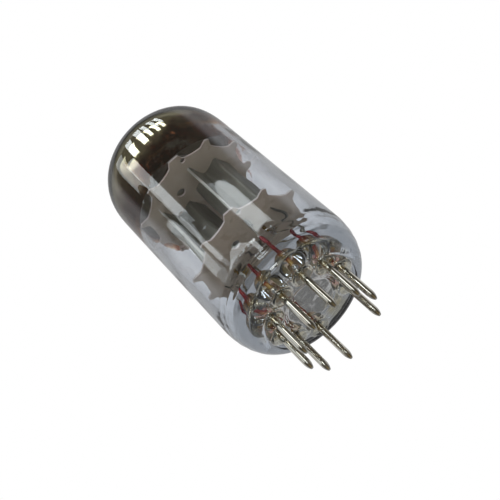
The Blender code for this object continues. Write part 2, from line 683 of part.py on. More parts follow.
def main():
    clear_scene()
    glass = make_material("clear_glass", (0.93, 0.95, 0.97), 0.03, glass=0.9)
    nickel = make_material("bright_nickel", (0.72, 0.70, 0.66), 0.22, metallic=1.0)
    copper = make_material("borated_copper", (0.38, 0.07, 0.06), 0.35, metallic=0.6)
    lead_nickel = make_material("lead_nickel", (0.55, 0.52, 0.48), 0.35, metallic=1.0)
    mica = make_material("mica", (0.33, 0.28, 0.25), 0.4)
    grey_nickel = make_material("carbonised_nickel", (0.09, 0.095, 0.085), 0.5, metallic=0.4)
    moly = make_material("grid_wire", (0.45, 0.43, 0.40), 0.3, metallic=1.0)
    white = make_material("heater_coating", (0.85, 0.84, 0.80), 0.8)
    steel = make_material("getter_steel", (0.50, 0.48, 0.45), 0.3, metallic=1.0)
    build_bulb(glass)
    build_button(glass)
    build_pins(nickel, copper)
    build_leads(lead_nickel)
    build_micas(mica)
    build_anodes(grey_nickel)
    build_grids(moly, nickel)
    build_cathodes(lead_nickel, white)
    build_getter(steel, lead_nickel)


main()
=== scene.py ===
import math

import bmesh
import bpy
from mathutils import Matrix, Vector, noise


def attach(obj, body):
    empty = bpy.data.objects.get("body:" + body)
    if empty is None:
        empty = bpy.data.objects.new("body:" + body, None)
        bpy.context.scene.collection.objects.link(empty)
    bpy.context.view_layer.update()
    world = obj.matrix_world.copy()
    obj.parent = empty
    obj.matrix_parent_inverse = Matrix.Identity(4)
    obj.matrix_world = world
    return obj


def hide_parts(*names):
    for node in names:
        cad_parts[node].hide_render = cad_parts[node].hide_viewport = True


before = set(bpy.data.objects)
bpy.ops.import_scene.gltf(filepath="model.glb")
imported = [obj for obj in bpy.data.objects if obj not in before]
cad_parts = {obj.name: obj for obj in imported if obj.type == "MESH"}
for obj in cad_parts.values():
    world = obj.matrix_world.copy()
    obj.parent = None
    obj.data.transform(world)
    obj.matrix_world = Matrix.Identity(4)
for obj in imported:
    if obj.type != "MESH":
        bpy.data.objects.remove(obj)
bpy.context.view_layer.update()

mm = 0.001
fullTurn = math.tau
touching = 1e-7  # metres, closer points count as one

# camera: the tube is seen from below and to one side, lying at an angle across the picture
cameraShot = {
    "aim": (-0.54, -0.2, 20.3),  # mm, where the view crosses the tube's axis
    "distance": 124.09,  # mm
    "azimuth": 20.02,
    "elevation": -38.57,
    "roll": 46.38,
    "lens": 63.56,
    "clip": (0.005, 20),  # metres
}


def directionTo(azimuth, elevation):
    # azimuth 0 is in front of the tube, on the -Y side, and 90 on its +X side
    a, e = math.radians(azimuth), math.radians(elevation)
    return Vector((math.sin(a) * math.cos(e), -math.cos(a) * math.cos(e), math.sin(e)))


def linkObject(name, data):
    item = bpy.data.objects.new(name, data)
    bpy.context.scene.collection.objects.link(item)
    return item


def placeCamera(shot):
    back = directionTo(shot["azimuth"], shot["elevation"])
    level = Vector((0, 0, 1)).cross(back).normalized()
    upright = back.cross(level)
    roll = math.radians(shot["roll"])
    right = level * math.cos(roll) - upright * math.sin(roll)
    up = level * math.sin(roll) + upright * math.cos(roll)
    camera = linkObject("camera", bpy.data.cameras.new("camera"))
    camera.matrix_world = Matrix((right, up, back)).transposed().to_4x4()
    camera.location = Vector(shot["aim"]) * mm + back * shot["distance"] * mm
    camera.data.lens = shot["lens"]
    camera.data.clip_start, camera.data.clip_end = shot["clip"]
    bpy.context.scene.camera = camera


placeCamera(cameraShot)
print("camera placed")


# node helpers

def rgba(colour):
    # a grey is one number
    return (*colour, 1) if isinstance(colour, tuple) else (colour, colour, colour, 1)


def connect(tree, socket, value):
    # value is a socket, a node, a number, a vector or a colour
    if isinstance(value, bpy.types.Node):
        value = value.outputs[0]
    if isinstance(value, bpy.types.NodeSocket):
        tree.links.new(value, socket)
    else:
        socket.default_value = rgba(value) if socket.type == "RGBA" else value


def addNode(tree, kind, inputs=None, **options):
    node = tree.nodes.new("ShaderNode" + kind)
    for name, value in options.items():
        setattr(node, name, value)
    for name, value in (inputs or {}).items():
        connect(tree, node.inputs[name], value)
    return node


def feed(tree, node, **sockets):
    # sockets are named as in Blender, with underscores for spaces
    for name, value in sockets.items():
        connect(tree, node.inputs[name.replace("_", " ")], value)


def rampNode(tree, factor, stops):
    ramp = addNode(tree, "ValToRGB", {"Fac": factor})
    ramp.color_ramp.interpolation = "EASE"
    while len(ramp.color_ramp.elements) < len(stops):
        ramp.color_ramp.elements.new(0.5)
    for element, (position, colour) in zip(ramp.color_ramp.elements, stops):
        element.position = position
        element.color = rgba(colour)
    return ramp.outputs["Color"]


def blend(tree, factor, first, second, mode="MIX"):
    mix = addNode(tree, "Mix", data_type="RGBA", blend_type=mode)
    for index, value in ((0, factor), (6, first), (7, second)):
        connect(tree, mix.inputs[index], value)
    return mix.outputs[2]


def mathOf(tree, operation, *values, clamp=False):
    return addNode(tree, "Math", dict(enumerate(values)), operation=operation, use_clamp=clamp).outputs[0]


def product(tree, first, *others):
    for factor in others:
        first = mathOf(tree, "MULTIPLY", first, factor)
    return first


def measure(tree, operation, *vectors):
    # the number that a length, a distance or a dot product gives
    return addNode(tree, "VectorMath", dict(enumerate(vectors)), operation=operation).outputs["Value"]


def place(tree):
    return addNode(tree, "TexCoord").outputs["Object"]


def placeParts(tree):
    # metres along each axis, with Z the height above the table
    return addNode(tree, "SeparateXYZ", {0: place(tree)}).outputs


def flatPlace(tree):
    parts = placeParts(tree)
    return addNode(tree, "CombineXYZ", {"X": parts["X"], "Y": parts["Y"]})


def remap(tree, value, low, high, newLow=0.0, newHigh=1.0, ease="LINEAR"):
    return addNode(tree, "MapRange", {"Value": value, "From Min": low, "From Max": high, "To Min": newLow,
                                      "To Max": newHigh}, interpolation_type=ease).outputs[0]


def stepUp(tree, value, low, high):
    # 0 at low and 1 at high, both in mm
    return remap(tree, value, low * mm, high * mm)


def grainOf(tree, scale, stretch=(1, 1, 1), detail=3, rough=0.55):
    stretched = addNode(tree, "Mapping", {"Vector": place(tree), "Scale": stretch})
    return addNode(tree, "TexNoise", {"Vector": stretched, "Scale": scale, "Detail": detail,
                                      "Roughness": rough}).outputs["Fac"]


def patches(tree, scale, low, high, newLow=0.0, newHigh=1.0, **grain):
    return remap(tree, grainOf(tree, scale, **grain), low, high, newLow, newHigh)


def bumpOf(tree, height, strength, distance, under=None):
    # distance in mm, on top of another bump
    inputs = {"Height": height, "Strength": strength, "Distance": distance * mm}
    if under is not None:
        inputs["Normal"] = under
    return addNode(tree, "Bump", inputs).outputs[0]


def newMaterial(name):
    material = bpy.data.materials.new(name)
    material.use_nodes = True
    return material, material.node_tree, material.node_tree.nodes["Principled BSDF"]


def showMix(tree, weight, first, second):
    # the material's surface becomes a mix of two shaders
    mixed = addNode(tree, "MixShader", {0: weight, 1: first, 2: second})
    feed(tree, tree.nodes["Material Output"], Surface=mixed)


# mesh helpers

def meshOf(name, shape):
    mesh = bpy.data.meshes.new(name)
    shape.to_mesh(mesh)
    shape.free()
    return mesh


def finishPiece(name, shape, material, slot, nodes, sharpDegrees=None):
    # turns a bmesh into a piece that rides on the tube and stands for its CAD nodes
    mesh = meshOf(name, shape)
    mesh.shade_smooth()
    if sharpDegrees:
        mesh.set_sharp_from_angle(angle=math.radians(sharpDegrees))
    mesh.materials.append(material)
    piece = linkObject(name, mesh)
    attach(piece, "root")
    if nodes:
        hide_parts(*nodes)
    return piece


def joinRings(shape, rings, capped=False):
    # a ring of one vertex closes to a point
    faces = []
    for low, high in zip(rings, rings[1:]):
        count = max(len(low), len(high))
        for i in range(count if count > 1 else 0):
            j = (i + 1) % count
            corners = [low[i % len(low)], low[j % len(low)], high[j % len(high)], high[i % len(high)]]
            faces.append(shape.faces.new(list(dict.fromkeys(corners))))
    if capped:
        shape.faces.new(rings[0][::-1])
        shape.faces.new(rings[-1])
    return faces


def turnProfile(shape, profile, segments, centre=(0, 0), shift=None):
    # profile of (radius, height) in mm, from one end on the axis to the other
    rings = []
    for radius, height in profile:
        ring = []
        for i in range(segments if radius * mm > touching else 1):
            angle = fullTurn * i / segments
            x, y = centre[0] + radius * math.cos(angle), centre[1] + radius * math.sin(angle)
            spot = Vector((x, y, height))
            if shift:
                spot = shift(spot, radius)
            ring.append(shape.verts.new(spot * mm))
        rings.append(ring)
    return joinRings(shape, rings)


def closeSkin(shape):
    bmesh.ops.remove_doubles(shape, verts=shape.verts, dist=touching)
    bmesh.ops.recalc_face_normals(shape, faces=shape.faces)


def turnPiece(name, profile, segments, centre, *dress):
    shape = bmesh.new()
    turnProfile(shape, profile, segments, centre)
    closeSkin(shape)
    return finishPiece(name, shape, *dress)


def spaced(low, high, count):
    return [low + (high - low) * i / (count - 1) for i in range(count)]


def onCircle(radius, degrees):
    angle = math.radians(degrees)
    return Vector((radius * math.cos(angle), radius * math.sin(angle)))


def smoothLine(points, steps):
    # Catmull-Rom curve through given points
    knots = [Vector(point) for point in points]
    knots = [2 * knots[0] - knots[1]] + knots + [2 * knots[-1] - knots[-2]]
    line = []
    for a, b, c, d in zip(knots, knots[1:], knots[2:], knots[3:]):
        for i in range(steps):
            t = i / steps
            line.append(0.5 * (2 * b + (c - a) * t + (2 * a - 5 * b + 4 * c - d) * t * t
                               + (3 * b - a - 3 * c + d) * t ** 3))
    return line + [knots[-2]]


def wavy(spot, scale, seed=0.0):
    return noise.noise(Vector(spot) * scale + Vector((seed, seed * 0.7, -seed)))


# studio: to the eye all is white, and what metal and glass mirror is a pale table on one side,
# a dim room on the other, a grey ceiling and a row of tall windows

roomLight = {
    "background": 1.0,
    "roomSide": (20, 5),  # azimuth and elevation of the dim side, with the table opposite
    # glow from the table's side round to the room's, brightest at the table's far edge
    "glow": [(0.0, 0.5), (0.4, 0.5), (0.5, 0.72), (0.62, (0.08, 0.072, 0.057))],
    "ceilingGlow": (0.25, 0.232, 0.183),
    "ceilingFrom": (0.60, 0.72),  # upward part of the way there
    "lowSide": (20, -50),  # the table on the near side, seen only by what the glass throws back down
    "lowGlow": (0.36, 0.28, 0.15),
    "lowFrom": (0.5, 0.85),
    "fill": 0.95,  # light on matt surfaces
    # the tube's own shade, seen through its base: azimuth, elevation, inner and outer spread, depth
    "shades": [(199.3, 34.8, 1.6, 4.6, 0.72), (198.8, 25.5, 1.5, 4.6, 0.42), (200.0, 13.0, 10.0, 17.5, 0.30)],
}


def sortRays(tree, rays):
    # rays that look on, also through glass, and rays that bounced off shiny things rather than matt ones
    looking = mathOf(tree, "MAXIMUM", rays["Is Camera Ray"], rays["Is Transmission Ray"])
    shiny = mathOf(tree, "SUBTRACT", rays["Glossy Depth"], rays["Diffuse Depth"], clamp=True)
    return looking, shiny


def buildWorld(light):
    world = bpy.data.worlds.new("room")
    bpy.context.scene.world = world
    world.use_nodes = True
    tree = world.node_tree
    tree.nodes.clear()
    way = addNode(tree, "TexCoord").outputs["Generated"]

    def nearTo(azimuth, elevation):
        return measure(tree, "DOT_PRODUCT", way, directionTo(azimuth, elevation))

    def glow(colour, strength):
        return addNode(tree, "Background", {"Color": colour, "Strength": strength})

    mirrored = rampNode(tree, remap(tree, nearTo(*light["roomSide"]), -1, 1), light["glow"])
    upward = remap(tree, addNode(tree, "SeparateXYZ", {0: way}).outputs["Z"], *light["ceilingFrom"])
    mirrored = blend(tree, upward, mirrored, light["ceilingGlow"], "LIGHTEN")
    downward = remap(tree, nearTo(*light["lowSide"]), *light["lowFrom"])
    mirrored = blend(tree, downward, mirrored, light["lowGlow"])
    # whatever has bounced off something gets the room, and all else looks straight through to white
    rays = addNode(tree, "LightPath").outputs
    looking, shiny = sortRays(tree, rays)
    bounced = mathOf(tree, "ADD", rays["Glossy Depth"], rays["Diffuse Depth"], clamp=True)
    straight = mathOf(tree, "SUBTRACT", looking, bounced, clamp=True)
    # light on matt parts inside the glass has come in once already
    outside = mathOf(tree, "SUBTRACT", light["fill"], rays["Is Transmission Ray"], clamp=True)
    clearness = light["background"]
    for azimuth, elevation, inner, outer, depth in light["shades"]:
        rim, core = math.cos(math.radians(outer)), math.cos(math.radians(inner))
        shade = remap(tree, nearTo(azimuth, elevation), rim, core, 0.0, depth, "SMOOTHSTEP")
        clearness = mathOf(tree, "SUBTRACT", clearness, product(tree, shade, rays["Is Transmission Ray"]))
    soft = addNode(tree, "MixShader", {0: shiny, 1: glow(1.0, outside), 2: glow(mirrored, 1.0)})
    seen = addNode(tree, "MixShader", {0: straight, 1: soft, 2: glow(1.0, clearness)})
    addNode(tree, "OutputWorld", {"Surface": seen})


windowRow = {
    "distance": 2.0,  # metres from the tube
    "height": 24.0,  # mm, where they aim
    "colour": (0.93, 0.99, 1.0),
    # azimuth, elevation, width and height in degrees, brightness
    "panes": [
        (341, 46.0, 13, 5.5, 3.4),
        (324, 53.0, 13, 13, 2.4),
        (335, 41.0, 6, 4.0, 3.2),
        (317, 41.0, 13, 5, 2.2),
        (359, 56.0, 8, 15, 9.0),
        (25, 58.0, 7, 18, 9.0),
        (41, 58.0, 4, 15, 9.0),
        (56, 57.0, 4, 14, 9.0),
        (69, 56.0, 4, 11, 9.0),
        (53, 40.5, 22, 5, 3.8),
        (0, 37.5, 40, 3.0, 4.0),
        (25, 23.0, 6, 27, 5.0),
        (335, 30.0, 34, 12, 0.6),
        (20, -30.0, 12, 10, 12.0),
    ],
}


def buildWindows(row):
    for number, (azimuth, elevation, across, upward, brightness) in enumerate(row["panes"], start=1):
        way = directionTo(azimuth, elevation)
        lamp = bpy.data.lights.new(f"window{number}", "AREA")
        lamp.shape = "RECTANGLE"
        lamp.size, lamp.size_y = (2 * row["distance"] * math.tan(math.radians(angle / 2))
                                  for angle in (across, upward))
        lamp.energy = brightness * math.pi * lamp.size * lamp.size_y
        lamp.color = row["colour"]
        pane = linkObject(lamp.name, lamp)
        pane.location = Vector((0, 0, row["height"] * mm)) + way * row["distance"]
        pane.rotation_euler = way.to_track_quat("Z", "Y").to_euler()
        pane.visible_camera = False


floorLook = {
    "size": 0.6,  # metres
    "fade": (0.16, 0.056),  # from nothing to full, metres from the axis
    "grey": (0.93, 0.93, 0.93),
}


def buildFloor(look):
    # pale floor that shows only from above, and lets the light of the room below through
    shape = bmesh.new()
    bmesh.ops.create_grid(shape, x_segments=8, y_segments=8, size=look["size"] / 2)
    floor = linkObject("floor", meshOf("floor", shape))
    material, tree, paint = newMaterial("paleFloor")
    feed(tree, paint, Base_Color=look["grey"], Roughness=0.6)
    looking, shiny = sortRays(tree, addNode(tree, "LightPath").outputs)
    seen = mathOf(tree, "SUBTRACT", looking, shiny, clamp=True)
    above = mathOf(tree, "SUBTRACT", seen, addNode(tree, "NewGeometry").outputs["Backfacing"], clamp=True)
    near = remap(tree, measure(tree, "LENGTH", place(tree)), *look["fade"], ease="SMOOTHSTEP")
    showMix(tree, product(tree, above, near), addNode(tree, "BsdfTransparent"), paint)
    floor.data.materials.append(material)


bpy.context.scene.view_settings.view_transform = "Standard"
buildWorld(roomLight)
buildWindows(windowRow)
buildFloor(floorLook)
print("studio lit")


# glass envelope: bulb, dome, exhaust tip and the pressed button in one fused piece

pinRing = {
    "places": 10,
    "count": 9,
    "gapAngle": 90.0,
    "radius": 5.945,
    "seat": 6.8,  # height of the button's underside
}

glassShape = {
    "radius": 10.88,
    "wall": 1.0,
    "domeTop": 47.8,
    "domeHeight": 8.3,
    "domeWall": 1.3,
    "squareness": 3.2,
    # exhaust tip: radius, share of its height
    "tip": [(1.25, 0.36), (1.02, 0.62), (0.72, 0.85), (0.34, 0.97), (0.0, 1.0)],
    "tipTop": 51.2,
    "funnel": [(0.9, 0.0), (0.62, 0.35), (0.45, 1.3), (0.28, 1.9), (0.0, 2.15)],  # radius, rise
    "buttonTop": 9.4,
    "buttonRadius": 7.45,
    "cornerHeight": 5.96,
    "recessRadius": 4.1,
    "recessDepth": 0.15,
    "bossFoot": 1.62,
    "bossCrown": 0.5,
    "bossHeight": 1.3,
    "collarCrown": 1.2,
    "collarHeight": 0.26,
    "wallWaves": 0.05,
    # where the corner was worked in the flame: middle and half of its height, waves
    "ringWaves": 0.05,
    "workedOutside": (9.6, 2.7, 5.2),
    "workedInside": (11.5, 3.0, 6.5),
    "pressWaves": 0.03,
    "segments": 256,
}

glassLook = {
    "bulb": (0.83, 0.845, 0.87),
    "button": (0.73, 0.70, 0.65),  # painted shade: greyer tint over the button, for the tube's shadow seen through it
    "paintedShade": (0.58, 0.61, 0.645),  # painted shade: darker tint low in the corner, for the tube's shadow seen through it
    "amber": (0.62, 0.50, 0.26),  # in the mounds round the seal wires
    "crimson": (0.62, 0.16, 0.13),  # painted reflection of the red seal wires, in the mounds round them
    "olive": (0.68, 0.59, 0.38),  # round the pins, on the underside
    # where each starts and where it is full, as heights, radii or reaches from a pin in mm
    "buttonTop": (9.75, 9.45),
    "buttonRadius": (7.3, 6.9),
    "paintedShadeHeight": (18, 9.5),
    "paintedShadeRadius": (8.1, 8.6),
    "moundFoot": (9.45, 9.75),
    "moundTop": (14, 12),
    "amberRadius": (7.9, 7.5),
    "crimsonReach": (1.6, 0.5),
    "oliveReach": (2.0, 1.2),
    "body": (0.725, 0.75, 0.78),
    "density": 360.0,
    "shadow": (0.9, 0.92, 0.94),
    "ior": 1.51,
    "smudges": 0.035,  # roughness
}


def pinSpots(ring):
    step = 360 / ring["places"]
    return [onCircle(ring["radius"], ring["gapAngle"] + step * (i + 1)) for i in range(ring["count"])]


def mound(distance, foot, crown):
    rise = min(1.0, max(0.0, (foot - distance) / (foot - crown)) * 1.3)
    return rise * rise * (3 - 2 * rise)


def arcPoints(startRadius, startHeight, width, height, count):
    # quarter ellipse from a flat foot, out and up to a wall
    turns = spaced(0, math.pi / 2, count)
    return [(startRadius + width * math.sin(t), startHeight + height - height * math.cos(t)) for t in turns]


def domePoints(radius, top, height, squareness, count):
    # from the wall up to just short of the axis
    power = 2 / squareness
    return [(radius * math.cos(t) ** power, top - height + height * math.sin(t) ** power)
            for t in spaced(0, math.pi / 2, count)[:-1]]


def outerProfile(glass, seat):
    recess, button, top = glass["recessRadius"], glass["buttonRadius"], glass["domeTop"]
    flat = [(0.0, seat + glass["recessDepth"])]
    flat += [(r, seat + glass["recessDepth"]) for r in spaced(0.4, recess - 0.25, 12)]
    flat += [(recess - 0.08, seat + 0.06), (recess + 0.05, seat + 0.01)]
    flat += [(r, seat) for r in spaced(recess + 0.2, button - 0.12, 30)]
    # shallow groove where the bulb was fused to the button
    flat += [(button, seat + 0.07), (button + 0.1, seat + 0.02)]
    foot = button + 0.15
    corner = arcPoints(foot, seat, glass["radius"] - foot, glass["cornerHeight"], 22)
    wall = [(glass["radius"], z) for z in spaced(seat + glass["cornerHeight"] + 1.5,
                                                 top - glass["domeHeight"] - 0.6, 18)]
    dome = domePoints(glass["radius"], top, glass["domeHeight"], glass["squareness"], 34)
    rise = glass["tipTop"] - top
    tip = [(2.3, top + 0.02), (1.75, top + 0.3)] + [(r, top + share * rise) for r, share in glass["tip"]]
    tipLine = [(max(p.x, 0.0), p.y) for p in smoothLine([(*spot, 0) for spot in tip], 4)]
    tipLine[-1] = (0.0, glass["tipTop"])
    return flat + corner + wall + dome + tipLine


def innerProfile(glass, seat):
    bore = glass["radius"] - glass["wall"]
    floor, button = glass["buttonTop"], glass["buttonRadius"]
    corner = arcPoints(button, floor, bore - button, seat + glass["cornerHeight"] - floor, 18)
    height = glass["domeHeight"] - glass["domeWall"]
    top = glass["domeTop"] - glass["domeWall"]
    flat = [(r, floor) for r in [0.0] + spaced(0.4, 4.0, 8) + spaced(4.12, button - 0.05, 34)]
    wall = [(bore, z) for z in spaced(seat + glass["cornerHeight"] + 1.2, top - height - 0.5, 20)]
    dome = domePoints(bore, top, height, glass["squareness"], 30)
    return flat + corner + wall + dome + [(r, top + rise) for r, rise in glass["funnel"]]


def workedShare(height, centre, reach):
    return max(0.0, 1 - abs(height - centre) / reach)


def pressedIn(spot, depth):
    return spot - Vector((spot.x, spot.y, 0)).normalized() * depth


def buildGlass(glass, ring, material):
    spots = pinSpots(ring)

    def moundAt(spot, crown):
        nearest = min((Vector((spot.x, spot.y)) - pin).length for pin in spots)
        return mound(nearest, glass["bossFoot"], crown)

    def shiftOuter(spot, radius):
        if spot.z < ring["seat"] + 0.5 and radius < glass["buttonRadius"] + 0.6:
            collar = moundAt(spot, glass["collarCrown"]) * glass["collarHeight"]
            ripple = glass["pressWaves"] * (wavy(spot, 0.9, 3) + 0.35 * wavy(spot, 1.9, 7))
            spot.z = spot.z - collar + max(ripple, -0.03)
            return spot
        if radius > 2.5:
            inward = glass["wallWaves"] * 0.35 * (0.5 + 0.5 * wavy(spot, 0.16, 11))
            centre, reach, waves = glass["workedOutside"]
            swell = 1 + math.sin(spot.z * waves + 2.5 * wavy(spot, 0.2, 71))
            return pressedIn(spot, inward + glass["ringWaves"] * workedShare(spot.z, centre, reach) * swell)
        return spot

    def shiftInner(spot, radius):
        if radius < glass["buttonRadius"] and spot.z < glass["buttonTop"] + 0.01:
            spot.z += moundAt(spot, glass["bossCrown"]) * glass["bossHeight"]
            spot.z += glass["pressWaves"] * wavy(spot, 0.8, 21)
            return spot
        if radius > 1.5:
            depth = glass["wallWaves"] * (wavy(spot, 0.22, 31) + 0.4 * wavy(spot, 0.7, 41))
            centre, reach, waves = glass["workedInside"]
            swell = math.sin(spot.z * waves + 3 * wavy(spot, 0.25, 51)) + wavy(spot, 0.9, 61)
            depth += glass["ringWaves"] * workedShare(spot.z, centre, reach) * swell
            return pressedIn(spot, depth + 0.04)
        return spot

    shape = bmesh.new()
    turnProfile(shape, outerProfile(glass, ring["seat"]), glass["segments"], shift=shiftOuter)
    inner = turnProfile(shape, innerProfile(glass, ring["seat"]), glass["segments"], shift=shiftInner)
    bmesh.ops.recalc_face_normals(shape, faces=shape.faces)
    # both skins come back facing away from the axis, and the bore has to face the vacuum
    bmesh.ops.reverse_faces(shape, faces=inner)
    finishPiece("glassEnvelope", shape, material, "glass", ("glass_bulb", "glass_button"))


def glassMaterial(look, ring):
    material, tree, shader = newMaterial("clearTubeGlass")
    parts = placeParts(tree)
    height, radius = parts["Z"], measure(tree, "LENGTH", flatPlace(tree))
    low = stepUp(tree, height, *look["buttonTop"])
    # painted shade: the button's glass is tinted greyer
    buttonShadeMask = product(tree, low, stepUp(tree, radius, *look["buttonRadius"]))
    tint = blend(tree, buttonShadeMask, look["bulb"], look["button"])
    # painted shade: patchy darker glass low in the corner, for the tube's shadow seen through it
    paintedShadePatches = patches(tree, 240, 0.3, 0.7, 0.55, 1.0, detail=4)
    patchy = product(tree, stepUp(tree, height, *look["paintedShadeHeight"]), paintedShadePatches,
                    stepUp(tree, radius, *look["paintedShadeRadius"]))
    mounds = product(tree, stepUp(tree, height, *look["moundFoot"]), stepUp(tree, height, *look["moundTop"]))
    amber = product(tree, mounds, stepUp(tree, radius, *look["amberRadius"]))
    # distance from the nearest pin, with the ring folded onto one of its places
    turn = mathOf(tree, "ARCTAN2", parts["Y"], parts["X"])
    turn = mathOf(tree, "ADD", turn, fullTurn - math.radians(ring["gapAngle"]))
    aside = product(tree, mathOf(tree, "PINGPONG", turn, fullTurn / ring["places"] / 2), ring["radius"] * mm)
    astray = mathOf(tree, "SUBTRACT", radius, ring["radius"] * mm)
    away = measure(tree, "LENGTH", addNode(tree, "CombineXYZ", {"X": aside, "Y": astray}))
    olive = product(tree, stepUp(tree, away, *look["oliveReach"]), low)
    # painted reflection: crimson near the pins in the mounds, for the red seal wires mirrored in the glass
    wireReflection = product(tree, stepUp(tree, away, *look["crimsonReach"]), mounds, patches(tree, 700, 0.35, 0.6))
    for name, share in (("paintedShade", patchy), ("amber", amber), ("olive", olive), ("crimson", wireReflection)):
        tint = blend(tree, share, tint, look[name])
    feed(tree, shader, Base_Color=tint, Transmission_Weight=1.0, IOR=look["ior"],
         Roughness=patches(tree, 260, 0.45, 0.8, 0.0, look["smudges"], detail=4))
    clear = addNode(tree, "BsdfTransparent", {"Color": look["shadow"]})
    showMix(tree, addNode(tree, "LightPath").outputs["Is Shadow Ray"], shader, clear)
    body = addNode(tree, "VolumeAbsorption", {"Color": look["body"], "Density": look["density"]})
    feed(tree, tree.nodes["Material Output"], Volume=body)
    return material


buildGlass(glassShape, pinRing, glassMaterial(glassLook, pinRing))
print("glass blown")


# getter film: metal evaporated on the inside of the dome, brown where it thins out

filmShape = {
    "bedded": 0.1,  # into the glass, so that nothing shines between them
    "thickness": 0.26,
    "segments": 160,
    "neck": [(0.95, 0.0), (0.62, 0.3), (0.4, 0.7), (0.38, 1.2)],  # up into the exhaust tip: radius, rise
    "edge": 39.3,  # mean height of its lower edge
    "edgeTilt": 2.2,
    "highSide": 20.0,  # degrees
    "fade": 3.4,
    "blotches": 1.4,
    "stainSide": 236.0,  # where it thins out to a long brown stain
    "stainSpread": (0.75, 0.97),  # cosine, from nothing to full
    "stainReach": 6.5,
    "stainRise": 2.5,
    "lowest": 33.95,
    # scorched spots: side, height, reach, strength
    "scorches": [(243, 35.9, 3.0, 1.0), (331, 35.6, 3.2, 0.9)],
}

filmLook = {
    "thin": [(0.0, (0.27, 0.14, 0.08)), (0.45, (0.28, 0.185, 0.13)), (0.7, (0.33, 0.27, 0.20))],
    "burnt": (0.13, 0.035, 0.016),
    "cover": [(0.08, 0.0), (0.5, 0.25), (0.8, 0.95), (1.0, 1.0)],
    # what shines through it
    "stain": [(0.0, 1.0), (0.15, (0.80, 0.60, 0.43)), (0.45, (0.37, 0.20, 0.12)),
              (0.85, (0.10, 0.05, 0.025))],
    "burntStain": (0.50, 0.19, 0.10),
    # where it is thick: colour, colour in the clouds, metal, roughness
    "getterMirror": ((0.34, 0.305, 0.19), (0.40, 0.355, 0.25), 1.0, 0.01),
    "getterSoot": ((0.14, 0.125, 0.09), (0.27, 0.245, 0.185), 0.2, 0.5),
}


def buildFilm(film, glass, mirror, soot):
    bore = glass["radius"] - glass["wall"] + film["bedded"]
    top = glass["domeTop"] - glass["domeWall"] + film["bedded"]
    height = glass["domeHeight"] - glass["domeWall"]
    outer = [(bore, z) for z in spaced(film["lowest"], top - height - 0.4, 12)]
    outer += domePoints(bore, top, height, glass["squareness"], 26)
    outer += [(r, top + rise) for r, rise in film["neck"]]
    thin, segments = film["thickness"], film["segments"]
    inner = [(r - thin, z - thin if z > top - height else z) for r, z in outer]
    shape = bmesh.new()
    faces = turnProfile(shape, outer + inner[::-1] + outer[:1], segments)
    for face in faces[segments * (len(outer) - 1):]:
        face.material_index = 1
    closeSkin(shape)
    piece = finishPiece("getterFilm", shape, mirror, "getter", (), 50)
    piece.data.materials.append(soot)


def filmCover(tree, film):
    # 0 on bare glass, 1 where the film is thick
    side = addNode(tree, "VectorMath", {0: flatPlace(tree)}, operation="NORMALIZE")
    tilt = measure(tree, "DOT_PRODUCT", side, onCircle(1, film["highSide"]).to_3d())
    stain = measure(tree, "DOT_PRODUCT", side, onCircle(1, film["stainSide"]).to_3d())
    stain = remap(tree, stain, *film["stainSpread"], ease="SMOOTHSTEP")
    blotch = patches(tree, 170, 0.3, 0.7, -film["blotches"] * mm, film["blotches"] * mm, detail=5, rough=0.6)
    level = mathOf(tree, "SUBTRACT", placeParts(tree)["Z"], product(tree, tilt, film["edgeTilt"] * mm))
    level = mathOf(tree, "ADD", level, blotch)
    level = mathOf(tree, "SUBTRACT", level, product(tree, stain, film["stainRise"] * mm))
    fade = mathOf(tree, "MULTIPLY_ADD", stain, film["stainReach"] * mm, film["fade"] * mm)
    above = mathOf(tree, "ADD", mathOf(tree, "SUBTRACT", level, film["edge"] * mm), fade)
    return mathOf(tree, "DIVIDE", above, product(tree, fade, 1.5), clamp=True)


def filmMaterial(name, film, look, bore):
    material, tree, shader = newMaterial(name)
    thick, patchy, metal, rough = look[name]
    cover = filmCover(tree, film)
    colour = rampNode(tree, cover, look["thin"] + [(0.9, thick)])
    colour = blend(tree, patches(tree, 210, 0.35, 0.7, detail=5, rough=0.65), colour, patchy)
    # burnt where it is thin
    burnt = patches(tree, 330, 0.49, 0.60, detail=4, rough=0.6)
    burnt = product(tree, burnt, remap(tree, cover, 0.9, 0.55))
    for side, height, reach, strength in film["scorches"]:
        centre = onCircle(bore, side).to_3d()
        centre.z = height
        away = measure(tree, "DISTANCE", place(tree), centre * mm)
        away = mathOf(tree, "ADD", away, patches(tree, 520, 0.3, 0.7, -0.5 * mm, 0.5 * mm, detail=4))
        scorch = remap(tree, away, reach * mm, reach * 0.45 * mm, 0.0, strength)
        burnt = mathOf(tree, "MAXIMUM", burnt, scorch)
    feed(tree, shader, Base_Color=blend(tree, burnt, colour, look["burnt"]), Metallic=metal,
         Roughness=patches(tree, 420, 0.3, 0.8, rough, rough * 1.2 + 0.03, detail=4))
    stain = blend(tree, burnt, rampNode(tree, cover, look["stain"]), look["burntStain"], "MULTIPLY")
    clear = addNode(tree, "BsdfTransparent", {"Color": stain})
    showMix(tree, rampNode(tree, cover, look["cover"]), clear, shader)
    return material


filmBore = glassShape["radius"] - glassShape["wall"]
buildFilm(filmShape, glassShape, filmMaterial("getterMirror", filmShape, filmLook, filmBore),
          filmMaterial("getterSoot", filmShape, filmLook, filmBore))
print("getter film laid")


# pins, welded to copper-clad seal wires inside the button

pinShape = {
    "radius": 0.508,
    "flat": 0.19,
    "taper": 1.5,
    "beadRadius": 0.64,
    "beadHeight": 0.7,
    "top": 8.6,
    "sealRadius": 0.27,
    "knotRadius": 0.56,
    "knotHeight": 0.95,
    "sealTop": 13.6,
    "anodeSealTop": 16.0,
    "anodePins": (1, 6),
}

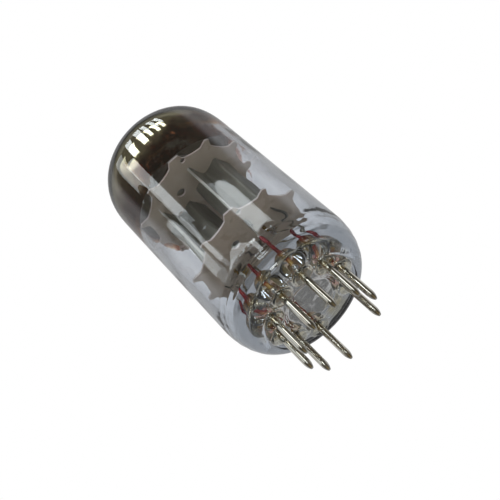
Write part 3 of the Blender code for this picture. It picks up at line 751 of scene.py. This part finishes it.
pinLook = {
    "nickel": [(0.3, (0.70, 0.66, 0.57)), (0.6, (0.86, 0.84, 0.77))],
    "tip": (1.6, 0.5),  # shaded up to this height, and how much is left at the very end
    "heat": (0.55, 0.38, 0.15),  # tint where the pin goes into the glass
    "heatStops": [(0.0, 0.0), (0.3, 0.55), (0.7, 0.5), (1.0, 0.0)],
    "heatSpan": (6.3, 7.5),
    "bead": (0.96, 0.95, 0.92),
    "beadSpan": (7.6, 7.9),
    "copper": [(0.35, (0.12, 0.008, 0.014)), (0.55, (0.30, 0.025, 0.032)), (0.75, (0.46, 0.08, 0.06))],
    "gold": (0.62, 0.42, 0.15),  # next to the pin
    "goldSpan": (10.4, 9.7),
    "knot": (0.95, 0.94, 0.91),
    "knotSpan": (9.6, 9.45),
}


def pinProfile(pin):
    taper = [(pin["flat"] + (pin["radius"] - pin["flat"]) * (1 - (1 - t) ** 2.5), pin["taper"] * t)
             for t in spaced(0.01, 1.0, 14)]
    foot = pin["top"] - pin["beadHeight"]
    middle = (pin["top"] + foot) / 2
    bead = [(pin["radius"] + (pin["beadRadius"] - pin["radius"]) * math.cos(t) ** 0.6,
             middle + pin["beadHeight"] / 2 * math.sin(t)) for t in spaced(-1.5, 1.5, 12)]
    shaft = [(pin["radius"], z) for z in spaced(pin["taper"] + 0.4, foot - 0.2, 10)]
    tip = [(0.0, 0.0), (pin["flat"] * 0.7, 0.0)]
    return tip + taper + shaft + bead + [(pin["sealRadius"], pin["top"]), (0.0, pin["top"])]


def sealProfile(pin, top):
    r = pin["sealRadius"]
    ball = [(r * (0.62 + 0.4 * math.cos(t)), top - 0.16 + 0.16 * math.sin(t)) for t in spaced(-0.6, 1.5, 6)]
    foot = pin["top"] + 0.02
    knot = [(r * 0.9 + (pin["knotRadius"] - r * 0.9) * math.sin(t), foot + pin["knotHeight"] * t / math.pi)
            for t in spaced(0, math.pi, 12)]
    wire = [(r, foot + pin["knotHeight"] + 0.2), (r, top - 1.2), (r * 0.97, top - 0.5)]
    return [(0.0, foot)] + knot + wire + ball + [(0.0, top)]


def weldLumps(tree, where, under):
    return bumpOf(tree, product(tree, grainOf(tree, 1500, detail=1), where), 0.9, 0.35, under)


def pinMaterial(look):
    material, tree, shader = newMaterial("brightNickelPin")
    drawn = grainOf(tree, 900, stretch=(1, 1, 0.05), detail=2)
    height = placeParts(tree)["Z"]
    tipHeight, tipShade = look["tip"]
    colour = rampNode(tree, grainOf(tree, 330, detail=4), look["nickel"])
    shade = rampNode(tree, stepUp(tree, height, 0, tipHeight), [(0.0, tipShade), (1.0, 1.0)])
    colour = blend(tree, 1.0, colour, shade, "MULTIPLY")
    heated = rampNode(tree, stepUp(tree, height, *look["heatSpan"]), look["heatStops"])
    colour = blend(tree, heated, colour, look["heat"])
    bead = stepUp(tree, height, *look["beadSpan"])
    colour = blend(tree, bead, colour, look["bead"])
    feed(tree, shader, Base_Color=colour, Metallic=1.0, Roughness=remap(tree, drawn, 0.3, 0.7, 0.05, 0.11),
         Normal=weldLumps(tree, bead, bumpOf(tree, drawn, 0.2, 0.02)))
    return material


def sealMaterial(look):
    material, tree, shader = newMaterial("boratedCopper")
    patch = grainOf(tree, 420, detail=4)
    height = placeParts(tree)["Z"]
    colour = rampNode(tree, patch, look["copper"])
    colour = blend(tree, stepUp(tree, height, *look["goldSpan"]), colour, look["gold"])
    knot = stepUp(tree, height, *look["knotSpan"])
    colour = blend(tree, knot, colour, look["knot"])
    feed(tree, shader, Base_Color=colour, Metallic=remap(tree, knot, 0, 1, 0.5, 1.0), Roughness=0.16,
         Coat_Weight=0.6, Coat_Roughness=0.08, Normal=weldLumps(tree, knot, bumpOf(tree, patch, 0.25, 0.04)))
    return material


def buildPins(pin, ring, nickel, copper):
    for number, spot in enumerate(pinSpots(ring), start=1):
        turnPiece(f"pin{number}", pinProfile(pin), 40, spot, nickel, "pin_nickel", (f"pin_{number}",), 50)
        top = pin["anodeSealTop"] if number in pin["anodePins"] else pin["sealTop"]
        turnPiece(f"sealWire{number}", sealProfile(pin, top), 28, spot,
                  copper, "seal_wire", (f"seal_wire_{number}",), 50)


buildPins(pinShape, pinRing, pinMaterial(pinLook), sealMaterial(pinLook))
print("pins set")


# drawn wires, smoothed over the CAD wires

wireLook = {
    "roundness": 2,  # subdivision levels
    "sharpAngle": 60,  # degrees, at the cut ends
    "crease": 0.7,
    # dark and bright colour, least and most roughness
    "dullNickel": ((0.33, 0.30, 0.26), (0.62, 0.58, 0.50), 0.22, 0.4),
    "goldenGrid": ((0.40, 0.27, 0.12), (0.68, 0.50, 0.25), 0.2, 0.36),
}


def isCorner(edge, degrees):
    return edge.is_manifold and edge.calc_face_angle(0) > math.radians(degrees)


def smoothedWire(look, node, name, material, slot="lead_nickel"):
    # a new mesh from the frame's node, joined up again and rounded
    shape = bmesh.new()
    shape.from_mesh(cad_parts[node].data)
    bmesh.ops.remove_doubles(shape, verts=shape.verts, dist=touching)
    crease = shape.edges.layers.float.new("crease_edge")
    for edge in shape.edges:
        if isCorner(edge, look["sharpAngle"]):
            edge[crease] = look["crease"]
    rounder = finishPiece(name, shape, material, slot, (node,)).modifiers.new("rounder", "SUBSURF")
    rounder.levels = rounder.render_levels = look["roundness"]


def wireMaterial(name, dark, bright, roughLow, roughHigh):
    material, tree, shader = newMaterial(name)
    drawn = grainOf(tree, 1400, detail=2)
    colour = rampNode(tree, grainOf(tree, 380, detail=4), [(0.35, dark), (0.65, bright)])
    feed(tree, shader, Base_Color=colour, Metallic=1.0, Normal=bumpOf(tree, drawn, 0.2, 0.02),
         Roughness=remap(tree, drawn, 0.3, 0.7, roughLow, roughHigh))
    return material


def buildLeads(look, count, nickel):
    for number in range(1, count + 1):
        smoothedWire(look, f"lead_{number}", f"lead{number}", nickel)
    smoothedWire(look, "heater_link", "heaterLink", nickel)


leadNickel = wireMaterial("dullNickelWire", *wireLook["dullNickel"])
buildLeads(wireLook, pinRing["count"], leadNickel)
print("leads run")


# micas: split sheets with teeth that grip the bulb, punched for the electrodes

micaShape = {
    "thickness": 0.3,
    "bevel": 0.035,
    "radius": 9.76,
    "valleyRadius": 8.75,
    "teeth": 11,
    "rootHalf": 5.5,  # degrees from a tooth's middle to the valley
    "tipHalf": 1.8,
    "keyAngle": 296.5,
    "keyHalf": 4.5,
    "notchAngle": 303.5,
    "notchRadius": 0.4,
    "notchCentre": 8.35625,  # from the axis
    "valleyDip": 0.16,
    "wobble": 0.004,  # share of the radius
    "levels": {"mica_lower": 19.25, "mica_upper": 33.45},
}

micaLook = {
    "face": [(0.3, (0.36, 0.285, 0.215)), (0.55, (0.46, 0.375, 0.285)), (0.8, (0.58, 0.48, 0.38))],
    "fleck": (0.05, 0.03, 0.02),
    "edge": (0.80, 0.69, 0.63),  # cut edges are paler, partly the split layers' own colour and partly a painted highlight
    "glow": (0.42, 0.30, 0.24),
    "glowShare": 0.3,
    "ior": 1.58,
}

anodeShape = {
    "offset": 3.7,
    "inner": 0.9,
    "outer": 6.5,
    "halfDepth": 2.1,
    "sheet": 0.16,
    "bend": 0.45,
    "bow": 0.035,
    "finReach": 5.5,
    "wallTab": 3.6,
    "finTab": 1.1,
    "finTabCentre": 4.65,
    "tabOut": 0.35,
    "leadTabOut": 1.2,
    "flangeShift": 0.1,
    "foot": 19.6,
    "head": 33.4,
    "slotClearance": 0.06,
    # spot welds along each fin: how many, distance from its ends and from the middle
    "welds": (5, 1.6, 3.4),
    "weldRings": [(0.34, -0.01), (0.3, 0.018), (0.2, 0.03), (0.1, 0.012)],  # radius, rise
}

electrodeShape = {
    "jigHole": 4.15,
    "jigRadius": 0.7,
    "cathodeRadius": 0.65,
    "cathodeWall": 0.1,
    "cathodeBead": 0.035,
    "cathodeFoot": 18.25,
    "cathodeMiddle": 26.0,
    "cathodeHead": 34.95,
    "rodOffset": 1.3,
    "rodRadius": 0.25,
    "rodFoot": 17.95,
    "rodHead": 35.25,
    "windingHalf": 0.98,
    "wire": 0.045,
    "pitch": 0.42,
    "windingFoot": 20.4,
    "windingHead": 32.6,
}


def micaRim(mica):
    # each tooth, then a hollow valley to the next one
    rim = []
    step = 360 / mica["teeth"]
    slope = mica["rootHalf"] - mica["tipHalf"]
    halves = [mica["keyHalf"]] + [mica["tipHalf"]] * (mica["teeth"] - 1)
    for i, tip in enumerate(halves):
        angle = mica["keyAngle"] + step * i
        low, high = angle + tip + slope, angle + step - halves[(i + 1) % len(halves)] - slope
        corners = [onCircle(mica["valleyRadius"], angle - tip - slope), onCircle(mica["radius"], angle - tip),
                   onCircle(mica["radius"], angle + tip), onCircle(mica["valleyRadius"], low)]
        for start, end in zip(corners, corners[1:]):
            rim += [start.lerp(end, t) for t in spaced(0, 1, 6)[:-1]]
        halfChord = math.cos(math.radians((high - low) / 2))
        for t in spaced(0, 1, 13)[:-1]:
            chord = halfChord / math.cos(math.radians((high - low) * (t - 0.5)))
            radius = mica["valleyRadius"] * chord - mica["valleyDip"] * 4 * t * (1 - t)
            rim.append(onCircle(radius, low + (high - low) * t))
    return [spot * (1 + mica["wobble"] * noise.noise(spot.to_3d() * 1.7)) for spot in rim]


def roundHole(x, y, radius, count=24):
    return [Vector((x, y)) + onCircle(radius, 360 * i / count) for i in range(count)]


def slotHole(x, y, width, depth):
    w, d = width / 2, depth / 2
    return [Vector((x + a * w, y + b * d)) for a, b in ((-1, -1), (1, -1), (1, 1), (-1, 1))]


def micaHoles(anode, electrode):
    ease = anode["slotClearance"]
    thick = anode["sheet"] + 2 * ease
    holes = []
    for side in (-1, 1):
        x = side * anode["offset"]
        holes.append(roundHole(0, side * electrode["jigHole"], electrode["jigRadius"]))
        holes.append(roundHole(x, 0, electrode["cathodeRadius"] + ease))
        for end in (-1, 1):
            holes.append(roundHole(x, end * electrode["rodOffset"], electrode["rodRadius"] + ease, 16))
        for wall in (anode["outer"] - anode["sheet"] / 2, anode["inner"] + anode["sheet"] / 2):
            holes.append(slotHole(side * wall, 0, thick, anode["wallTab"] + 2 * ease))
        holes.append(slotHole(x + side * anode["flangeShift"], -side * anode["finTabCentre"],
                              thick, anode["finTab"] + 2 * ease))
    return holes


def cutPlate(outlines, low, high, bevel):
    # flat sheet with holes, filled between its outlines and given thickness
    shape = bmesh.new()
    edges = []
    for outline in outlines:
        verts = [shape.verts.new((spot.x * mm, spot.y * mm, low * mm)) for spot in outline]
        edges += [shape.edges.new(pair) for pair in zip(verts, verts[1:] + verts[:1])]
    filled = bmesh.ops.triangle_fill(shape, edges=edges, use_beauty=True)
    faces = [item for item in filled["geom"] if isinstance(item, bmesh.types.BMFace)]
    grown = bmesh.ops.extrude_face_region(shape, geom=faces)
    tops = [item for item in grown["geom"] if isinstance(item, bmesh.types.BMVert)]
    bmesh.ops.translate(shape, verts=tops, vec=(0, 0, (high - low) * mm))
    bmesh.ops.recalc_face_normals(shape, faces=shape.faces)
    rims = [edge for edge in shape.edges
            if isCorner(edge, 60) and abs(edge.verts[0].co.z - edge.verts[1].co.z) < touching]
    bmesh.ops.bevel(shape, geom=rims, offset=bevel * mm, segments=2, affect="EDGES", clamp_overlap=True)
    return shape


def micaMaterial(look):
    material, tree, shader = newMaterial("splitMica")
    cloud = grainOf(tree, 150, detail=5)
    flecks = patches(tree, 900, 0.62, 0.8, 0.0, 0.4, stretch=(1, 1, 0.2))
    colour = blend(tree, flecks, rampNode(tree, cloud, look["face"]), look["fleck"])
    facing = addNode(tree, "NewGeometry").outputs["True Normal"]
    upright = mathOf(tree, "ABSOLUTE", addNode(tree, "SeparateXYZ", {0: facing}).outputs["Z"])
    # the cut edges are paler, partly the split layers' own colour and partly a painted highlight
    colour = blend(tree, remap(tree, upright, 0.9, 0.5), colour, look["edge"])
    feed(tree, shader, Base_Color=colour, Roughness=remap(tree, cloud, 0.3, 0.7, 0.2, 0.38), IOR=look["ior"],
         Coat_Weight=0.3, Coat_Roughness=0.12, Normal=bumpOf(tree, cloud, 0.3, 0.15))
    showMix(tree, look["glowShare"], shader, addNode(tree, "BsdfTranslucent", {"Color": look["glow"]}))
    return material


def buildMicas(mica, anode, electrode, material):
    notchSpot = onCircle(mica["notchCentre"], mica["notchAngle"])
    outlines = [micaRim(mica), roundHole(*notchSpot, mica["notchRadius"], 18)] + micaHoles(anode, electrode)
    for node, level in mica["levels"].items():
        shape = cutPlate(outlines, level, level + mica["thickness"], mica["bevel"])
        name = "micaLowerSheet" if node == "mica_lower" else "micaUpperSheet"
        finishPiece(name, shape, material, "mica", (node,), 40)


buildMicas(micaShape, anodeShape, electrodeShape, micaMaterial(micaLook))
print("micas punched")


# anodes: two folded halves each, their flanges meeting in long fins

anodeLook = {
    "soot": [(0.3, (0.12, 0.112, 0.092)), (0.6, (0.21, 0.195, 0.16)), (0.85, (0.30, 0.28, 0.235))],
    "rough": (0.30, 0.46),
    "metal": 0.55,
    "bare": (0.52, 0.50, 0.44),  # along the cut ends of the fins
    "bareRough": 0.3,
}


def offsetLine(points, distance):
    ways = [(end - start).normalized() for start, end in zip(points, points[1:])]
    normals = [Vector((-way.y, way.x)) for way in ways]
    moved = []
    for point, before, after in zip(points, normals[:1] + normals, normals + normals[-1:]):
        mitre = (before + after).normalized()
        moved.append(point + mitre * distance / mitre.dot(before))
    return moved


def foldedLine(points, distance, bend, steps):
    line = offsetLine(points, distance)
    folded = [line[0]]
    for i in range(1, len(line) - 1):
        first, second = (line[i] - line[i - 1]).normalized(), (line[i + 1] - line[i]).normalized()
        turn = first.x * second.y - first.y * second.x
        radius = bend - math.copysign(distance, turn)
        half = first.angle(second) / 2
        start = line[i] - first * radius * math.tan(half)
        centre = start + Vector((-first.y, first.x)) * math.copysign(radius, turn)
        for k in range(steps + 1):
            spin = Matrix.Rotation(math.copysign(2 * half * k / steps, turn), 2)
            folded.append(centre + spin @ (start - centre))
    return folded + [line[-1]]


def fineLine(points, longest):
    # splits long straight stretches so that the sheet can warp
    fine = [points[0]]
    for start, end in zip(points, points[1:]):
        count = max(1, math.ceil((end - start).length / longest))
        fine += [start.lerp(end, (k + 1) / count) for k in range(count)]
    return fine


def anodeSection(anode, wall, flange):
    # both faces of the folded sheet, as seen from above
    half = anode["sheet"] / 2
    middle = anode["halfDepth"] - half
    reach = anode["finReach"]
    line = [Vector(spot) for spot in ((flange, -reach), (flange, -middle), (wall, -middle),
                                      (wall, middle), (flange, middle), (flange, reach))]
    return [fineLine(foldedLine(line, distance, anode["bend"], 8), 0.5) for distance in (half, -half)]


def turnedVert(shape, turn, *spot):
    return shape.verts.new((turn @ Vector(spot)) * mm)


def sheetWall(shape, anode, wall, flange, turn, seed):
    left, right = anodeSection(anode, wall, flange)
    outline = left + right[::-1]
    rows = []
    levels = spaced(anode["foot"], anode["head"], 24)
    for z in levels:
        row = []
        for spot in outline:
            bow = anode["bow"] * wavy((spot.x * 0.5, spot.y * 0.5, z * 0.35), 1.0, seed)
            # folds and ends stay nearly true
            stiff = abs(abs(spot.y) - anode["halfDepth"]) < 0.9 or z in (levels[0], levels[-1])
            row.append(turnedVert(shape, turn, spot.x + bow * (0.2 if stiff else 1.0), spot.y, z))
        rows.append(row)
    joinRings(shape, rows)
    for row in (rows[0], rows[-1]):
        for i in range(len(left) - 1):
            corners = (row[i], row[i + 1], row[-2 - i], row[-1 - i])
            if len(set(corners)) == 4:
                shape.faces.new(corners)


def roundedTab(shape, x, y, width, low, high, sheet, turn):
    # tab punched from the sheet, with its corners clipped
    clip = min(0.18, width / 5)
    w = width / 2
    outline = [(-w, low + clip), (-w + clip, low), (w - clip, low), (w, low + clip),
               (w, high - clip), (w - clip, high), (-w + clip, high), (-w, high - clip)]
    joinRings(shape, [[turnedVert(shape, turn, x + face, y + s, z) for s, z in outline]
                      for face in (-sheet / 2, sheet / 2)], capped=True)


def weldSpots(shape, anode, flange, outward, turn, sides=14):
    # pressed spot welds along both fins
    count, inset, out = anode["welds"]
    for end in (-1, 1):
        for z in spaced(anode["foot"] + inset, anode["head"] - inset, count):
            rings = []
            for radius, rise in anode["weldRings"]:
                x = flange + outward * (anode["sheet"] / 2 + rise)
                ring = [onCircle(radius, 360 * k / sides) for k in range(sides)]
                rings.append([turnedVert(shape, turn, x, end * out + spot.x, z + spot.y) for spot in ring])
            joinRings(shape, rings, capped=True)


def anodeMaterial(anode, look):
    material, tree, shader = newMaterial("carbonisedNickel")
    streak = grainOf(tree, 700, stretch=(1, 1, 0.06), detail=2)
    colour = rampNode(tree, grainOf(tree, 240, stretch=(1, 1, 0.35), detail=5), look["soot"])
    out = mathOf(tree, "ABSOLUTE", placeParts(tree)["Y"])
    rim = stepUp(tree, out, anode["finReach"] - 0.05, anode["finReach"] - 0.01)
    rough = remap(tree, streak, 0.3, 0.7, *look["rough"])
    feed(tree, shader, Base_Color=blend(tree, rim, colour, look["bare"]), Metallic=look["metal"],
         Roughness=blend(tree, rim, rough, look["bareRough"]), Normal=bumpOf(tree, streak, 0.25, 0.04))
    return material


def buildAnodes(anode, mica, material):
    half = anode["sheet"] / 2
    head = mica["levels"]["mica_upper"] + mica["thickness"] + anode["tabOut"]
    foot = mica["levels"]["mica_lower"]
    thin = anode["sheet"] * 0.9
    for side, spin in (("right", 0), ("left", math.pi)):
        turn = Matrix.Rotation(spin, 3, "Z")
        for kind, wall, shift in (("outer", anode["outer"] - half, 1), ("inner", anode["inner"] + half, -1)):
            flange = anode["offset"] + shift * anode["flangeShift"]
            shape = bmesh.new()
            sheetWall(shape, anode, wall, flange, turn, 5.0 * shift + spin)
            roundedTab(shape, wall, 0, anode["wallTab"], foot - anode["tabOut"], head, thin, turn)
            if kind == "outer":
                roundedTab(shape, flange, -anode["finTabCentre"], anode["finTab"],
                           foot - anode["leadTabOut"], head, thin, turn)
            weldSpots(shape, anode, flange, shift, turn)
            bmesh.ops.recalc_face_normals(shape, faces=shape.faces)
            name = "anode" + side.capitalize() + kind.capitalize()
            finishPiece(name, shape, material, "anode", (f"anode_{side}_{kind}",), 40)


buildAnodes(anodeShape, micaShape, anodeMaterial(anodeShape, anodeLook))
print("anodes folded")


# grids, cathodes and heaters

electrodeLook = {
    "sleeve": (0.55, 0.52, 0.47),
    "coating": (0.78, 0.77, 0.72),
    "coatingFoot": (20.6, 20.7),
    "coatingHead": (32.4, 32.3),
    "rough": (0.3, 0.85),
    "alumina": [(0.3, (0.62, 0.60, 0.55)), (0.7, (0.84, 0.83, 0.79))],
}

triodes = {"left": -anodeShape["offset"], "right": anodeShape["offset"]}


def tubeAlong(shape, line, radius, sides):
    rings = []
    side = Vector((0, 0, 1))
    for i, spot in enumerate(line):
        way = (line[min(i + 1, len(line) - 1)] - line[max(i - 1, 0)]).normalized()
        side = (side - way * side.dot(way)).normalized()
        other = way.cross(side)
        ring = [onCircle(radius, 360 * k / sides) for k in range(sides)]
        rings.append([shape.verts.new((spot + side * a.x + other * a.y) * mm) for a in ring])
    joinRings(shape, rings, capped=True)


def buildGrids(part, wire, steps=28):
    r, foot, head = part["rodRadius"], part["rodFoot"], part["rodHead"]
    rod = [(0, foot), (r * 0.8, foot), (r, foot + 0.06), (r, head - 0.06), (r * 0.8, head), (0, head)]
    turns = int((part["windingHead"] - part["windingFoot"]) / part["pitch"])
    reach = part["rodOffset"] + r
    for side, x in triodes.items():
        shape = bmesh.new()
        for end in (-1, 1):
            turnProfile(shape, rod, 20, (x, end * part["rodOffset"]))
        line = []
        for i in range(turns * steps + 1):
            a = fullTurn * i / steps - math.pi / 2
            line.append(Vector((x + part["windingHalf"] * math.cos(a), reach * math.sin(a),
                                part["windingFoot"] + part["pitch"] * i / steps)))
        tubeAlong(shape, line, part["wire"], 5)
        bmesh.ops.recalc_face_normals(shape, faces=shape.faces)
        finishPiece(f"grid{side.capitalize()}Winding", shape, wire, "grid_wire", (f"grid_{side}",), 50)


def cathodeMaterial(look):
    material, tree, shader = newMaterial("coatedCathode")
    height = placeParts(tree)["Z"]
    coated = product(tree, *(stepUp(tree, height, *look[end]) for end in ("coatingFoot", "coatingHead")))
    feed(tree, shader, Base_Color=blend(tree, coated, look["sleeve"], look["coating"]),
         Metallic=remap(tree, coated, 0, 1, 1.0, 0.0), Roughness=remap(tree, coated, 0, 1, *look["rough"]),
         Normal=bumpOf(tree, grainOf(tree, 1600, detail=4), 0.3, 0.03))
    return material


def buildCathodes(part, nickel):
    r, bore = part["cathodeRadius"], part["cathodeRadius"] - part["cathodeWall"]
    low, middle, high = part["cathodeFoot"], part["cathodeMiddle"], part["cathodeHead"]
    # beads in the sleeve hold it in the micas
    beads = [[(r, z - 0.1), (r + part["cathodeBead"], z), (r, z + 0.1)] for z in (low + 0.85, high - 0.95)]
    profile = [(bore, low), (r - 0.02, low), (r, low + 0.03), *beads[0], (r, middle), *beads[1],
               (r, high - 0.03), (r - 0.02, high), (bore, high), (bore, middle), (bore, low)]
    for side, x in triodes.items():
        turnPiece(f"cathode{side.capitalize()}Sleeve", profile, 40, (x, 0),
                  nickel, "lead_nickel", (f"cathode_{side}",), 40)


def heaterMaterial(look):
    material, tree, shader = newMaterial("aluminaCoating")
    powder = grainOf(tree, 1900, detail=5)
    feed(tree, shader, Base_Color=rampNode(tree, powder, look["alumina"]), Roughness=0.9,
         Normal=bumpOf(tree, powder, 0.6, 0.04))
    return material


def buildHeaters(look, white):
    for side in triodes:
        smoothedWire(look, f"heater_{side}", f"heater{side.capitalize()}Loop", white, "heater")


buildGrids(electrodeShape, wireMaterial("goldenGridWire", *wireLook["goldenGrid"]))
buildCathodes(electrodeShape, cathodeMaterial(electrodeLook))
buildHeaters(wireLook, heaterMaterial(electrodeLook))
print("grids wound")


# getter ring over the upper mica

ringShape = {
    "radius": 3.0,
    "section": 1.1,
    "sheet": 0.2,
    "height": 41.0,
    "corner": 0.06,
    "lip": 0.03,
}

ringLook = {
    "steel": [(0.3, (0.10, 0.085, 0.075)), (0.5, (0.24, 0.22, 0.20)), (0.75, (0.40, 0.37, 0.33))],
    "rough": (0.45, 0.28),
}


def ringMaterial(look):
    material, tree, shader = newMaterial("firedGetterSteel")
    scorch = grainOf(tree, 300, detail=5)
    feed(tree, shader, Base_Color=rampNode(tree, scorch, look["steel"]), Metallic=0.9,
         Roughness=remap(tree, scorch, 0.3, 0.7, *look["rough"]), Normal=bumpOf(tree, scorch, 0.3, 0.05))
    return material


def buildGetter(ring, look, steel, wire):
    r, half, sheet = ring["radius"], ring["section"] / 2, ring["sheet"]
    low, high, corner, lip = ring["height"] - half, ring["height"] + half, ring["corner"], ring["lip"]
    # outer half of the channel, from its underside over the lip and down to the fill
    wing = [(half - corner, low), (half, low + corner), (half, high - lip), (half - lip, high),
            (half - sheet + lip, high), (half - sheet, high - lip), (half - sheet, low + sheet + 0.3),
            (0.12, low + sheet + 0.22)]
    inner = [(r - out, z) for out, z in wing[::-1]]
    trough = inner[-1:] + [(r + out, z) for out, z in wing] + inner
    turnPiece("getterChannel", trough, 96, (0, 0), steel, "getter", ("getter_ring",), 40)
    smoothedWire(look, "getter_support", "getterStand", wire)


buildGetter(ringShape, wireLook, ringMaterial(ringLook), leadNickel)
print("getter ring set")
